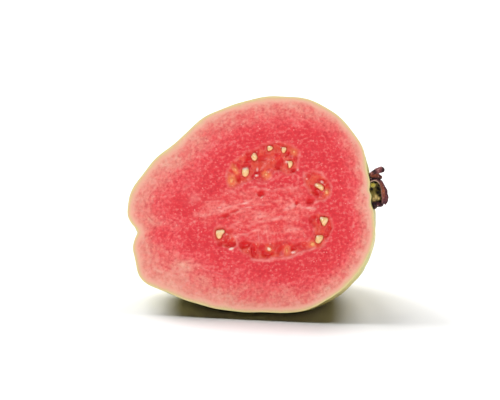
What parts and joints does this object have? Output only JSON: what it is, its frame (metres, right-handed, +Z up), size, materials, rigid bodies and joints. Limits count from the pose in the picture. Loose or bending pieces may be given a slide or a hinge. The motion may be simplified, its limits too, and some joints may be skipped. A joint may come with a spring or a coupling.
{
  "type": "cut guava half",
  "caption": "Lengthwise half of a pink-fleshed guava with pale rind, seeds showing in the cut face, a dried calyx at one end and a stem pit at the other.",
  "frame": {"origin": "middle of the bottom of the bounding box, on the surface the fruit rests on", "axes": "+X from the stem end towards the calyx end, -Y the way the cut face looks, +Z up"},
  "size_m": [0.0916, 0.0566, 0.0732],
  "materials": {
    "flesh": "wet pink flesh inside a thin, slightly waxy yellow-green skin",
    "seed": "hard, pale cream, wet",
    "calyx": "dry, brown, rough",
    "calyx_inside": "dry, olive brown, rough",
    "sepal": "dry, purplish brown, wrinkled"
  },
  "bodies": {
    "root": {"fruit_half": "flesh", "seed_01": "seed", "seed_02": "seed", "seed_03": "seed", "seed_04": "seed", "seed_05": "seed", "seed_06": "seed", "seed_07": "seed", "seed_08": "seed", "seed_09": "seed", "seed_10": "seed", "seed_11": "seed", "seed_12": "seed", "seed_13": "seed", "seed_14": "seed", "seed_15": "seed", "seed_16": "seed", "seed_17": "seed", "calyx_ring": "calyx", "calyx_disc": "calyx_inside", "sepal_top": "sepal", "sepal_upper": "sepal", "sepal_back": "sepal", "sepal_lower": "sepal", "sepal_front": "sepal"}
  },
  "joints": []
}
